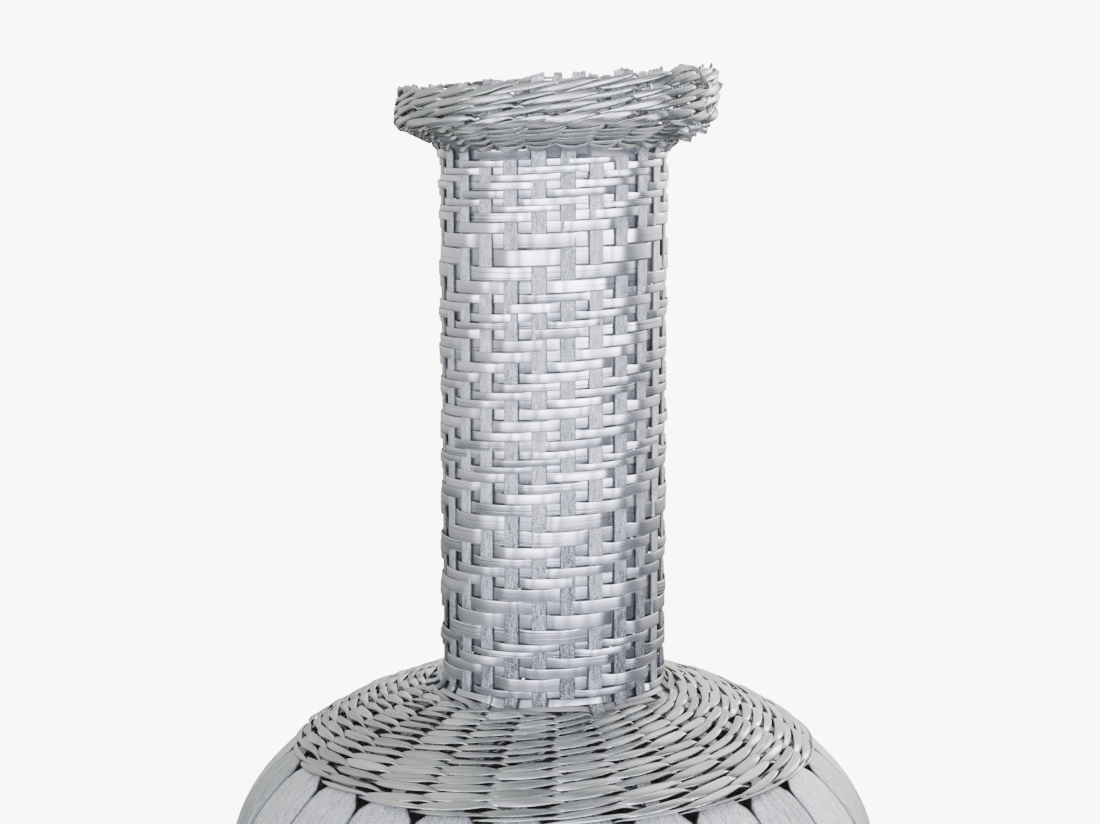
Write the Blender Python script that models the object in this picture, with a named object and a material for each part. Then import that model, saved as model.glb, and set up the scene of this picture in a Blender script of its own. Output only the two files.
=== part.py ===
# A bottle vase of bamboo: upright stakes that run from the foot to the rim, and flat strips woven round them.
# Metres, +Z up, the origin in the middle of the underside. The front is the -Y side, and +X is on its right.

import math
from itertools import count, cycle

import bmesh
import bpy
from mathutils import Vector

# The stakes. Each is one strip, narrow in the weave and broad round the belly.
STAKE_COUNT = 25
STAKE_WIDTH = 0.008
STAKE_THICKNESS = 0.0012
SLAT_GAP = 0.0025  # between two neighbouring slats round the belly
FOOT_STAKE_WIDTH = 0.012
FOOT_TAPER = 0.042  # length over which a stake widens into a slat above the foot
SHOULDER_TAPER = 0.018  # and over which the slat narrows again below the shoulder's rows
STAKE_END = 0.0025  # how far the cut ends stand above the collar's last row

# The outline, measured on the middle of the stakes.
FOOT_RADIUS = 0.092
FOOT_LIFT = 0.0015  # the slat ends stop this far above the floor
BELLY_RADIUS = 0.176
BELLY_HEIGHT = 0.243
SHOULDER_RISE = 0.102
NECK_RADIUS = 0.0590
NECK_BASE_BEND = 0.008  # radius of the bend from the shoulder into the neck
NECK_LENGTH = 0.2792
RIM_RADIUS = 0.0825
FLARE_BEND = 0.008  # radius of the bend from the neck into the flare
COLLAR_BEND = 0.004  # radius of the bend from the flare up into the collar
FLARE_TURN = math.radians(62)
COLLAR_HEIGHT = 0.0162
COLLAR_LEAN = 0.0018  # the collar is this much closer in at its top
RIM_TILT = 0.004  # the rim stands this much higher on the right and lower on the left
RIM_SHIFT = 0.0022  # and it sits this far to the right

# The weavers.
WEAVER_THICKNESS = 0.0008
SHOULDER_WEAVE_RADIUS = 0.140  # where the rows over the shoulder begin
SHOULDER_STRIP = 0.0080
NECK_STRIPS = (0.0061, 0.0085, 0.0088, 0.0066, 0.0060, 0.0078, 0.0098, 0.0054)
FLARE_STRIP = 0.0037
COLLAR_STRIP = 0.0050
FOOT_STRIP = 0.0064
FOOT_ROW_COUNT = 2
ROW_GAP = 0.0003  # between one row and the next
FLARE_ROW_GAP = 0.0009
SHOULDER_STRIP_STAKES = 124  # how many stakes one strip passes, a multiple of 4
NECK_STRIP_STAKES = 120
RIM_STRIP_STAKES = 400
FOOT_STRIP_STAKES = 100
SPLICE_TAPER = 12  # a strip reaches its own width over this many stakes
SPLICE_GAP = 0.0016  # between the ends of two strips, behind a stake

# The base.
CLEARANCE = 0.0003  # between pieces that touch
BASE_THICKNESS = 0.008
HOOP_THICKNESS = 0.0025
HOOP_WIDTH = 0.009
HOOP_FACES = 50

STEP = math.tau / STAKE_COUNT
BACK = math.pi / 2  # the spirals begin at the back
BLEND = 0.006  # the strips turn through a bend of the stakes within this length on each side
CURVE_POINTS = 48  # points along each curve of the outline before stations are chosen


def arc(centre, radius, start, end, points):
    """Points (radius, height) along an arc, which may be an ellipse when radius is a pair."""
    across, up = radius if isinstance(radius, tuple) else (radius, radius)
    for i in range(points + 1):
        turn = start + (end - start) * i / points
        yield (centre[0] + across * math.cos(turn), centre[1] + up * math.sin(turn))


def shoulder_end():
    """How far up the shoulder's ellipse the bend into the neck begins, and the centre of that bend."""
    low, high = 0.0, math.pi / 2
    for _ in range(60):
        turn = (low + high) / 2
        normal = Vector((math.cos(turn) / BELLY_RADIUS, math.sin(turn) / SHOULDER_RISE)).normalized()
        point = Vector((BELLY_RADIUS * math.cos(turn), BELLY_HEIGHT + SHOULDER_RISE * math.sin(turn)))
        centre = point + normal * NECK_BASE_BEND
        if centre.x > NECK_RADIUS + NECK_BASE_BEND:
            low = turn
        else:
            high = turn
    return turn, centre, normal


class Outline:
    """A line of (radius, height) points with its arc length, read at any distance from its foot."""

    def __init__(self, points):
        self.points = [Vector(point) for point in points]
        self.lengths = [0.0]
        for a, b in zip(self.points, self.points[1:]):
            self.lengths.append(self.lengths[-1] + (b - a).length)
        self.slopes = [math.atan2(b.y - a.y, b.x - a.x) for a, b in zip(self.points, self.points[1:])]

    def segment(self, distance):
        for i, end in enumerate(self.lengths[1:-1]):
            if distance < end:
                return i
        return len(self.points) - 2

    def point(self, distance):
        i = self.segment(distance)
        share = (distance - self.lengths[i]) / (self.lengths[i + 1] - self.lengths[i])
        return self.points[i].lerp(self.points[i + 1], share)

    def slope(self, distance):
        """The angle of the line, turned smoothly through each corner."""
        i = self.segment(distance)
        low, high = self.lengths[i], self.lengths[i + 1]
        reach = min(BLEND, (high - low) / 2)
        near = 0
        if distance - low < reach and i > 0:
            near, share = i - 1, 1 - (distance - low) / reach
        elif high - distance < reach and i < len(self.slopes) - 1:
            near, share = i + 1, 1 - (high - distance) / reach
        else:
            return self.slopes[i]
        corner = (self.slopes[i] + self.slopes[near]) / 2
        return self.slopes[i] + (corner - self.slopes[i]) * share

    def distance(self, radius, start, end):
        """Where the line crosses a radius, between two distances from its foot."""
        rising = self.point(end).x > self.point(start).x
        for _ in range(60):
            middle = (start + end) / 2
            if (self.point(middle).x < radius) == rising:
                start = middle
            else:
                end = middle
        return start


def smooth_outline():
    """The outline of a stake as drawn, with the distance from the foot at which each stretch ends."""
    foot_turn = math.acos(FOOT_RADIUS / BELLY_RADIUS)
    depth = (BELLY_HEIGHT - FOOT_LIFT) / math.sin(foot_turn)
    end_turn, bend_centre, bend_normal = shoulder_end()
    neck_base = bend_centre.y
    neck_top = neck_base + NECK_LENGTH
    curl = FLARE_BEND + COLLAR_BEND
    run = (RIM_RADIUS - NECK_RADIUS - curl * (1 - math.cos(FLARE_TURN))) / math.sin(FLARE_TURN)
    collar_base = neck_top + curl * math.sin(FLARE_TURN) + run * math.cos(FLARE_TURN)
    bend_start = math.atan2(bend_normal.y, bend_normal.x) + math.pi
    flare_centre = (NECK_RADIUS + FLARE_BEND, neck_top)
    collar_centre = (RIM_RADIUS - COLLAR_BEND, collar_base)
    stretches = {
        "belly": arc((0, BELLY_HEIGHT), (BELLY_RADIUS, depth), -foot_turn, 0, CURVE_POINTS),
        "shoulder": arc((0, BELLY_HEIGHT), (BELLY_RADIUS, SHOULDER_RISE), 0, end_turn, CURVE_POINTS),
        "neck base": arc(bend_centre, NECK_BASE_BEND, bend_start, math.pi, CURVE_POINTS),
        "neck": [(NECK_RADIUS, neck_base), (NECK_RADIUS, neck_top)],
        "flare": arc(flare_centre, FLARE_BEND, math.pi, math.pi - FLARE_TURN, CURVE_POINTS),
        "collar base": arc(collar_centre, COLLAR_BEND, -FLARE_TURN, 0, CURVE_POINTS),
        "collar": [(RIM_RADIUS, collar_base), (RIM_RADIUS - COLLAR_LEAN, collar_base + COLLAR_HEIGHT)],
    }
    points, marks = [], {}
    for name, stretch in stretches.items():
        points += [point for point in stretch if not points or math.dist(point, points[-1]) > 1e-7]
        marks[name] = sum(math.dist(a, b) for a, b in zip(points, points[1:]))
    return Outline(points), marks, neck_top


SMOOTH, MARKS, NECK_TOP = smooth_outline()
SHOULDER_WEAVE_START = SMOOTH.distance(SHOULDER_WEAVE_RADIUS, MARKS["belly"], MARKS["shoulder"])
BASE_EDGE = (BASE_THICKNESS - FOOT_LIFT) / math.sin(SMOOTH.slopes[0])  # how far the disc reaches up the slats
CHORD_DIP = FOOT_RADIUS * (1 - math.cos(STEP))  # a strip runs straight from stake to stake, inside the circle
FOOT_WEAVE_START = max(HOOP_WIDTH, BASE_EDGE) + WEAVER_THICKNESS + CLEARANCE + CHORD_DIP
FOOT_WEAVE_END = FOOT_WEAVE_START + (FOOT_ROW_COUNT + 1) * (FOOT_STRIP + ROW_GAP)


def slat_width(distance):
    return 2 * SMOOTH.point(distance).x * math.tan(STEP / 2) - SLAT_GAP


def stake_stations():
    """Distances from the foot at which a stake's outline is set, each with its width there."""
    low_taper = FOOT_WEAVE_END + FOOT_TAPER
    high_taper = SHOULDER_WEAVE_START - SHOULDER_TAPER
    half_way = (FOOT_STAKE_WIDTH + slat_width(low_taper)) / 2
    stations = [(0, FOOT_STAKE_WIDTH), (FOOT_WEAVE_END, FOOT_STAKE_WIDTH)]
    stations.append((FOOT_WEAVE_END + FOOT_TAPER / 3, half_way))
    for share in (0, 0.5, 1):
        distance = low_taper + (MARKS["belly"] - low_taper) * share
        stations.append((distance, slat_width(distance)))
    for distance in ((MARKS["belly"] + high_taper) / 2, high_taper):
        stations.append((distance, slat_width(distance)))
    stations.append((SHOULDER_WEAVE_START - SHOULDER_TAPER / 3, (STAKE_WIDTH + slat_width(high_taper)) / 2))
    stations.append((SHOULDER_WEAVE_START, STAKE_WIDTH))
    narrow = [
        (SHOULDER_WEAVE_START + MARKS["shoulder"]) / 2,
        MARKS["shoulder"],
        MARKS["neck base"],
        MARKS["neck"],
        (MARKS["neck"] + MARKS["flare"]) / 2,
        MARKS["flare"],
        MARKS["collar base"] - COLLAR_BEND * FLARE_TURN,
        MARKS["collar base"],
        MARKS["collar"],
    ]
    return stations + [(distance, STAKE_WIDTH) for distance in narrow]


STATIONS = stake_stations()
STAKE_LINE = Outline([SMOOTH.point(distance) for distance, _ in STATIONS])


def line_distance(distance):
    """The distance along the faceted stake line for one along the smooth outline."""
    for i, (low, high) in enumerate(zip(STATIONS, STATIONS[1:])):
        if distance <= high[0] or i == len(STATIONS) - 2:
            share = (distance - low[0]) / (high[0] - low[0])
            return STAKE_LINE.lengths[i] + share * (STAKE_LINE.lengths[i + 1] - STAKE_LINE.lengths[i])


def stake_width(distance):
    """A stake's width at a distance along the faceted stake line."""
    i = STAKE_LINE.segment(distance)
    share = (distance - STAKE_LINE.lengths[i]) / (STAKE_LINE.lengths[i + 1] - STAKE_LINE.lengths[i])
    return STATIONS[i][1] + share * (STATIONS[i + 1][1] - STATIONS[i][1])


def tilted(point):
    """The rim is pushed to the right, up there and down on the left, and the neck below it is upright."""
    share = min(max((point.z - NECK_TOP) / (STAKE_LINE.points[-1].y - NECK_TOP), 0), 1)
    return point + Vector((RIM_SHIFT, 0, RIM_TILT * point.x / RIM_RADIUS)) * share


def directions(slope, turn):
    """Up along the stake, outwards from it, and level round the vase."""
    out = Vector((math.cos(turn), math.sin(turn), 0))
    up = out * math.cos(slope) + Vector((0, 0, math.sin(slope)))
    normal = out * math.sin(slope) - Vector((0, 0, math.cos(slope)))
    return up, normal, Vector((-math.sin(turn), math.cos(turn), 0))


def place(distance, turn, offset):
    radius, height = STAKE_LINE.point(distance)
    normal = directions(STAKE_LINE.slope(distance), turn)[1]
    return Vector((radius * math.cos(turn), radius * math.sin(turn), height)) + normal * offset


def loft(name, rings, material):
    """A closed body through rings of four corners."""
    bm = bmesh.new()
    rows = [[bm.verts.new(tilted(corner)) for corner in ring] for ring in rings]
    for low, high in zip(rows, rows[1:]):
        for i in range(4):
            bm.faces.new((low[i - 1], low[i], high[i], high[i - 1]))
    bm.faces.new(rows[0])
    bm.faces.new(rows[-1])
    bmesh.ops.recalc_face_normals(bm, faces=bm.faces)
    mesh = bpy.data.meshes.new(name)
    bm.to_mesh(mesh)
    bm.free()
    finish(bpy.data.objects.new(name, mesh), material)


def finish(obj, material):
    obj.data.materials.append(material)
    obj.data.shade_smooth()
    obj.data.set_sharp_from_angle(angle=math.radians(35))
    bpy.context.scene.collection.objects.link(obj)


def section(middle, across, through):
    """The four corners of a flat strip's section."""
    outer, inner = middle + through, middle - through
    return [outer + across, outer - across, inner - across, inner + across]


def make_stake(name, turn, material):
    """One stake: a flat strip bent up the outline, with mitred corners of its own width at each station."""
    rings = []
    slopes = STAKE_LINE.slopes
    for i, (_, width) in enumerate(STATIONS):
        before, after = slopes[max(i - 1, 0)], slopes[min(i, len(slopes) - 1)]
        _, normal, side = directions((before + after) / 2, turn)
        radius, height = STAKE_LINE.points[i]
        middle = Vector((radius * math.cos(turn), radius * math.sin(turn), height))
        through = normal * STAKE_THICKNESS / 2 / math.cos((after - before) / 2)
        rings.append(section(middle, side * width / 2, through))
    loft(name, rings, material)


def bend_room(distance, width):
    """How much further a flat strip lies from stakes that bend under it."""
    turn = STAKE_LINE.slope(distance + width / 2) - STAKE_LINE.slope(distance - width / 2)
    return (width / 2 + 3 * STAKE_THICKNESS) * math.tan(abs(turn) / 2)


def plain_offsets(distance):
    """How far out and in a strip lies where it passes over one stake and under the next."""
    radius = STAKE_LINE.point(distance).x
    share = stake_width(distance) / 2 / (radius * math.sin(STEP))
    sag = radius * (1 - math.cos(STEP)) * max(math.sin(STAKE_LINE.slope(distance)), 0)
    clear = (STAKE_THICKNESS + WEAVER_THICKNESS) / 2 + CLEARANCE
    inside = clear
    for _ in range(8):
        outside = (clear + share * (inside + sag)) / (1 - share)
        inside = max(clear, (clear + share * (outside - sag)) / (1 - share))
    return outside, -inside


def corner_room(distance, width):
    """How much further apart two rows lie in a hollow bend, where their outer faces lean together."""
    turn = STAKE_LINE.slope(distance) - STAKE_LINE.slope(distance + width)
    return max(turn, 0) * (plain_offsets(distance)[0] + WEAVER_THICKNESS)


def edge_share(distance):
    """Half a stake's width with its clearance, as a share of the spacing of the stakes."""
    radius = STAKE_LINE.point(distance).x
    return (stake_width(distance) / 2 + CLEARANCE) / (radius * STEP)


def twill_offsets(distance):
    """How far out and in a strip lies at the ends of a straight float over or under two stakes."""
    radius = STAKE_LINE.point(distance).x
    half_float = (0.5 + edge_share(distance)) * STEP
    half_width = stake_width(distance) / 2
    clear = WEAVER_THICKNESS / 2 + CLEARANCE
    over = (radius + STAKE_THICKNESS / 2) * math.cos(STEP / 2) + half_width * math.sin(STEP / 2) + clear
    under = (radius - STAKE_THICKNESS / 2) * math.cos(STEP / 2) - half_width * math.sin(STEP / 2) - clear
    return over / math.cos(half_float) - radius, under / math.cos(half_float) - radius


class Spiral:
    """Strips laid end to end in one climb, clockwise from above. Its places are counts of stakes passed."""

    def __init__(self, start, first_turn):
        self.start = start
        self.first_turn = first_turn
        self.strips = []

    @property
    def stakes(self):
        return self.strips[-1]["end"] if self.strips else 0

    def width(self, passed):
        """The width of the strip at a place along the spiral, eased in after each splice."""
        previous = self.strips[0]["width"]
        for strip in self.strips:
            if passed < strip["end"] or strip is self.strips[-1]:
                share = min(max((passed - strip["start"]) / SPLICE_TAPER, 0), 1)
                return previous + (strip["width"] - previous) * share, strip["gap"]
            previous = strip["width"]

    def lower_edge(self, passed):
        """Where the strip's lower edge lies, which is on the row that was laid one turn before."""
        turns, part = divmod(passed, STAKE_COUNT)
        width, gap = self.width(0)
        height = self.start + (width + gap) * part / STAKE_COUNT
        for turn in range(int(turns)):
            width, gap = self.width(part + turn * STAKE_COUNT)
            height += width + gap + corner_room(height + width / 2, width)
        return height

    def lay(self, name, weave, width, gap, most, limit):
        """Adds a strip past at most so many stakes, below a limit. Says whether the limit cut it short."""
        strip = {"name": name, "weave": weave, "width": width, "gap": gap}
        strip["start"] = strip["end"] = self.stakes
        self.strips.append(strip)
        while strip["end"] - strip["start"] < most:
            strip["end"] += 4
            if self.lower_edge(strip["end"]) + width > limit:
                strip["end"] -= 4
                break
        if strip["end"] == strip["start"]:
            self.strips.pop()
        return strip["end"] - strip["start"] < most

    def path(self, strip):
        """Where the strip's middle bends, as stakes passed, with whether it is outside the stakes there."""
        trim = SPLICE_GAP / 2 / (STAKE_LINE.point(self.lower_edge(strip["start"])).x * STEP)
        places = [(strip["start"] + trim, False)]
        if strip["weave"] == "plain":
            places += [(n, n % 2 == 1) for n in range(strip["start"] + 1, strip["end"])]
        else:
            for n in range(strip["start"], strip["end"], 4):
                edge = edge_share(self.lower_edge(n))
                places += [(n + edge, False), (n + 1 - edge, True)]
                places += [(n + 2 + edge, True), (n + 3 - edge, False)]
        places.append((strip["end"] - trim, False))
        return places

    def make(self, strip, material):
        points, ups, widths = [], [], []
        for passed, outside in self.path(strip):
            width, _ = self.width(passed)
            middle = self.lower_edge(passed) + width / 2
            turn = self.first_turn - STEP * passed
            offsets = plain_offsets(middle) if strip["weave"] == "plain" else twill_offsets(middle)
            room = bend_room(middle, width)
            offset = offsets[0] + room if outside else offsets[1] - room
            points.append(place(middle, turn, offset))
            ups.append(directions(STAKE_LINE.slope(middle), turn)[0])
            widths.append(width)
        rings = []
        for i, point in enumerate(points):
            before = (point - points[max(i - 1, 0)]).normalized()
            after = (points[min(i + 1, len(points) - 1)] - point).normalized()
            along = (before + after).normalized()
            up = (ups[i] - along * ups[i].dot(along)).normalized()
            bend = before.angle(after) if 0 < i < len(points) - 1 else 0
            through = along.cross(up) * WEAVER_THICKNESS / 2 / math.cos(bend / 2)
            rings.append(section(point, up * widths[i] / 2, through))
        loft(strip["name"], rings, material)


def weave_body():
    """The strips from the shoulder to the top of the collar."""
    spiral = Spiral(line_distance(SHOULDER_WEAVE_START), BACK)
    cut_short = False
    for number in count(1):
        if cut_short:
            break
        limit = line_distance(MARKS["shoulder"])
        name = f"shoulder_weaver_{number}"
        cut_short = spiral.lay(name, "plain", SHOULDER_STRIP, ROW_GAP, SHOULDER_STRIP_STAKES, limit)
    cut_short = False
    for number, width in zip(count(1), cycle(NECK_STRIPS)):
        if cut_short:
            break
        limit = line_distance(MARKS["neck"])
        cut_short = spiral.lay(f"neck_weaver_{number}", "twill", width, ROW_GAP, NECK_STRIP_STAKES, limit)
    limit = line_distance(MARKS["collar base"])
    spiral.lay("rim_weaver_1", "plain", FLARE_STRIP, FLARE_ROW_GAP, RIM_STRIP_STAKES, limit)
    limit = STAKE_LINE.lengths[-1] - STAKE_END
    spiral.lay("rim_weaver_2", "plain", COLLAR_STRIP, ROW_GAP, RIM_STRIP_STAKES, limit)
    return spiral


def weave_foot():
    spiral = Spiral(line_distance(FOOT_WEAVE_START), BACK)
    spiral.lay("foot_weaver", "plain", FOOT_STRIP, ROW_GAP, FOOT_STRIP_STAKES, line_distance(FOOT_WEAVE_END))
    return spiral


def make_base_disc(material):
    """A disc whose edge leans out like the slats that close on it."""
    slope = STAKE_LINE.slopes[0]
    inset = (STAKE_THICKNESS / 2 + CLEARANCE) / math.sin(slope)
    radius = STAKE_LINE.points[0].x - inset - STAKE_LINE.points[0].y / math.tan(slope)
    bm = bmesh.new()
    bmesh.ops.create_cone(
        bm,
        cap_ends=True,
        segments=2 * STAKE_COUNT,
        radius1=radius,
        radius2=radius + BASE_THICKNESS / math.tan(slope),
        depth=BASE_THICKNESS,
    )
    bmesh.ops.translate(bm, verts=bm.verts, vec=(0, 0, BASE_THICKNESS / 2))
    mesh = bpy.data.meshes.new("base_disc")
    bm.to_mesh(mesh)
    bm.free()
    finish(bpy.data.objects.new("base_disc", mesh), material)


def make_foot_hoop(material):
    """A flat hoop round the outside of the slat ends, leaning with them."""
    slope = STAKE_LINE.slopes[0]
    seat = (STAKE_THICKNESS / 2 + CLEARANCE) / math.sin(slope)
    bm = bmesh.new()
    corners = []
    for out, along in ((0, 0), (HOOP_THICKNESS, 0), (HOOP_THICKNESS, HOOP_WIDTH), (0, HOOP_WIDTH)):
        middle = STAKE_LINE.points[0].x + along * math.cos(slope) + seat
        ring = math.hypot(middle, FOOT_STAKE_WIDTH / 2) / math.cos(math.pi / HOOP_FACES) + out
        corners.append(bm.verts.new((ring, 0, STAKE_LINE.points[0].y + along * math.sin(slope))))
    edges = [bm.edges.new((corners[i - 1], corners[i])) for i in range(4)]
    bmesh.ops.spin(bm, geom=edges + corners, axis=(0, 0, 1), angle=math.tau, steps=HOOP_FACES)
    bmesh.ops.remove_doubles(bm, verts=bm.verts, dist=0.00001)
    bmesh.ops.recalc_face_normals(bm, faces=bm.faces)
    mesh = bpy.data.meshes.new("foot_hoop")
    bm.to_mesh(mesh)
    bm.free()
    finish(bpy.data.objects.new("foot_hoop", mesh), material)


def painted(name, colour, roughness, metallic):
    material = bpy.data.materials.new(name)
    material.use_nodes = True
    shader = material.node_tree.nodes["Principled BSDF"]
    shader.inputs["Base Color"].default_value = (*colour, 1)
    shader.inputs["Roughness"].default_value = roughness
    shader.inputs["Metallic"].default_value = metallic
    return material


def main():
    for obj in list(bpy.data.objects):
        bpy.data.objects.remove(obj)
    stake_paint = painted("stake_silver", (0.55, 0.56, 0.56), 0.55, 0.4)
    weaver_paint = painted("weaver_silver", (0.66, 0.67, 0.70), 0.35, 0.7)
    base_paint = painted("base_silver", (0.42, 0.43, 0.42), 0.6, 0.3)
    for number in range(STAKE_COUNT):
        make_stake(f"stake_{number + 1:02d}", BACK - STEP * number, stake_paint)
    for spiral in (weave_body(), weave_foot()):
        for strip in spiral.strips:
            spiral.make(strip, weaver_paint)
    make_base_disc(base_paint)
    make_foot_hoop(base_paint)


main()
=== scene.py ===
# Looks for a bottle vase of woven bamboo, painted silver. Metres, +Z up, the front towards -Y.
import math

import bpy
import numpy as np
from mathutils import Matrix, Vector


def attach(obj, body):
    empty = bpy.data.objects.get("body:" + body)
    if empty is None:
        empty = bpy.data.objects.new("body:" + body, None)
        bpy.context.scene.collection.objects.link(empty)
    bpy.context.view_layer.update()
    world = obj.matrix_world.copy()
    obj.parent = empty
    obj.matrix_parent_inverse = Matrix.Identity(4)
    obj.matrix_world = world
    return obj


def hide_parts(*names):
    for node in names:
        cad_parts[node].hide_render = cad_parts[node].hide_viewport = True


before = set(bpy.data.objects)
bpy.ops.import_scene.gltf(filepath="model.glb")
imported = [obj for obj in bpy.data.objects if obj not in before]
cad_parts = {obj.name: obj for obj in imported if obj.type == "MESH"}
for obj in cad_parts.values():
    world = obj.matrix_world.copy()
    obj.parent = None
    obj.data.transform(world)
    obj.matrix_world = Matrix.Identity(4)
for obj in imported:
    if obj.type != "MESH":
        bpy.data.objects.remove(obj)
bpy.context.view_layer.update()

chance = np.random.default_rng(11)
bpy.ops.object.select_all(action="DESELECT")


# Material maths: a wired socket that adds, subtracts and multiplies by making Math nodes.
class Wire:
    def __init__(self, paint, socket):
        self.paint = paint
        self.socket = socket

    def __add__(self, other):
        return self.paint.maths("ADD", self, other)

    def __sub__(self, other):
        return self.paint.maths("SUBTRACT", self, other)

    def __rsub__(self, other):
        return self.paint.maths("SUBTRACT", other, self)

    def __mul__(self, other):
        return self.paint.maths("MULTIPLY", self, other)


# A node tree that is wired in Python: a material's, or the world's.
class Paint:
    def __init__(self, owner):
        owner.use_nodes = True
        self.tree = owner.node_tree

    def node(self, kind, settings=None, inputs=None, output=0):
        made = self.tree.nodes.new(kind)
        for name, value in (settings or {}).items():
            setattr(made, name, value)
        for name, value in (inputs or {}).items():
            self.feed(made.inputs[name], value)
        return Wire(self, made.outputs[output])

    def feed(self, socket, value):
        if isinstance(value, Wire):
            self.tree.links.new(value.socket, socket)
        elif socket.type == "RGBA":
            socket.default_value = (*value, 1)
        else:
            socket.default_value = value

    def maths(self, operation, first, second, clamp=False):
        return self.node("ShaderNodeMath", {"operation": operation, "use_clamp": clamp},
                         {0: first, 1: second})

    def smooth(self, value, low, high):      # 0 below low, 1 above high, eased between
        return self.node("ShaderNodeMapRange", {"interpolation_type": "SMOOTHSTEP"},
                         {"Value": value, "From Min": low, "From Max": high})

    def blend(self, share, first, second, how="MIX"):
        return self.node("ShaderNodeMix", {"data_type": "RGBA", "blend_type": how},
                         {"Factor": share, "A": first, "B": second}, output=2)

    def noise(self, where, scale, detail, rough=0.55):
        return self.node("ShaderNodeTexNoise", None,
                         {"Vector": where, "Scale": scale, "Detail": detail, "Roughness": rough})

    def stretch(self, where, scale, shift=(0, 0, 0)):
        return self.node("ShaderNodeMapping", None, {"Vector": where, "Scale": scale, "Location": shift})


# The outline of a stake, foot to rim, as the frame has it.
vase = dict(
    stakes=25, footRadius=0.092, footLift=0.0015, bellyRadius=0.176, bellyHeight=0.243,
    shoulderRise=0.102, neckRadius=0.0590, neckBaseBend=0.008, neckLength=0.2792, rimRadius=0.0825,
    flareBend=0.008, collarBend=0.004, flareTurn=math.radians(62), collarHeight=0.0162, collarLean=0.0018,
    rimTilt=0.004, rimShift=0.0022,
)
step = math.tau / vase["stakes"]             # angle between two stakes
samples = 12                                 # rings of a strip from one stake to the next
arcPlaces = 61                               # points along each arc of the outline
samePlace = 1e-7                             # points nearer than this are one
halvings = 60                                # steps of the search for the shoulder's end
lookupPlaces = 400                           # places tried along the shoulder
pastTop = 1.1                                # the rim's tilt and shift grow on, a little past the top


def arcPoints(centre, across, up, start, end):
    turn = np.linspace(start, end, arcPlaces)
    return np.column_stack((centre[0] + across * np.cos(turn), centre[1] + up * np.sin(turn)))


def shoulderEnd():                           # where the shoulder's ellipse meets the bend into the neck
    low, high = 0.0, math.pi / 2
    bend = vase["neckBaseBend"]
    for attempt in range(halvings):
        turn = (low + high) / 2
        normal = Vector((math.cos(turn) / vase["bellyRadius"], math.sin(turn) / vase["shoulderRise"]))
        normal.normalize()
        point = Vector((vase["bellyRadius"] * math.cos(turn),
                        vase["bellyHeight"] + vase["shoulderRise"] * math.sin(turn)))
        centre = point + normal * bend
        if centre.x > vase["neckRadius"] + bend:
            low = turn
        else:
            high = turn
    return turn, centre, math.atan2(normal.y, normal.x) + math.pi


class Outline:
    def __init__(self):
        footTurn = math.acos(vase["footRadius"] / vase["bellyRadius"])
        depth = (vase["bellyHeight"] - vase["footLift"]) / math.sin(footTurn)
        endTurn, bendCentre, bendStart = shoulderEnd()
        self.neckTop = bendCentre.y + vase["neckLength"]
        flareTurn = vase["flareTurn"]
        curl = vase["flareBend"] + vase["collarBend"]
        run = vase["rimRadius"] - vase["neckRadius"] - curl * (1 - math.cos(flareTurn))
        run /= math.sin(flareTurn)
        collarBase = self.neckTop + curl * math.sin(flareTurn) + run * math.cos(flareTurn)
        belly = (0, vase["bellyHeight"])
        stretches = {
            "belly": arcPoints(belly, vase["bellyRadius"], depth, -footTurn, 0),
            "shoulder": arcPoints(belly, vase["bellyRadius"], vase["shoulderRise"], 0, endTurn),
            "neckBase": arcPoints(bendCentre, vase["neckBaseBend"], vase["neckBaseBend"], bendStart, math.pi),
            "neck": np.array([(vase["neckRadius"], self.neckTop)]),
            "flare": arcPoints((vase["neckRadius"] + vase["flareBend"], self.neckTop),
                               vase["flareBend"], vase["flareBend"], math.pi, math.pi - flareTurn),
            "collarBase": arcPoints((vase["rimRadius"] - vase["collarBend"], collarBase),
                                    vase["collarBend"], vase["collarBend"], -flareTurn, 0),
            "collar": np.array([(vase["rimRadius"] - vase["collarLean"], collarBase + vase["collarHeight"])]),
        }
        points = np.zeros((0, 2))
        self.ends = {}
        for name, stretch in stretches.items():
            if len(points):
                fresh = np.hypot(*(stretch - points[-1]).T) > samePlace
                stretch = stretch[fresh]
            points = np.vstack((points, stretch))
            self.ends[name] = float(np.hypot(*np.diff(points, axis=0).T).sum())
        self.points = points
        pieces = np.diff(points, axis=0)
        lengths = np.hypot(*pieces.T)
        self.lengths = np.concatenate(([0], np.cumsum(lengths)))
        self.middles = (self.lengths[1:] + self.lengths[:-1]) / 2
        self.slopes = np.arctan2(pieces[:, 1], pieces[:, 0])
        self.top = points[-1, 1]

    def radius(self, distance):
        return np.interp(distance, self.lengths, self.points[:, 0])

    def height(self, distance):
        above = np.maximum(distance - self.lengths[-1], 0)    # past the end it runs straight on
        return np.interp(distance, self.lengths, self.points[:, 1]) + above

    def slope(self, distance):
        return np.interp(distance, self.middles, self.slopes)

    def hollow(self, distance):              # how sharply the line bends outwards, in radians per metre
        reach = 0.0015
        return (self.slope(distance - reach) - self.slope(distance + reach)) / (2 * reach)

    def distanceAt(self, radius):            # where the shoulder is this wide
        shoulder = np.linspace(self.ends["belly"], self.ends["shoulder"], lookupPlaces)
        return float(np.interp(-radius, -self.radius(shoulder), shoulder))


outline = Outline()


# Points at a distance up the outline and a place round the vase, lifted off the middle of the stakes. The
# place is counted in stakes passed from the back, clockwise from above.
def onVase(distance, passed, lift):
    slope = outline.slope(distance)
    turn = math.pi / 2 - step * passed
    out = outline.radius(distance) + lift * np.sin(slope)
    height = outline.height(distance) - lift * np.cos(slope)
    share = np.clip((height - outline.neckTop) / (outline.top - outline.neckTop), 0, pastTop)
    x = out * np.cos(turn)
    height = height + vase["rimTilt"] * share * x / vase["rimRadius"]
    return np.column_stack((x + vase["rimShift"] * share, out * np.sin(turn), height))


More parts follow.
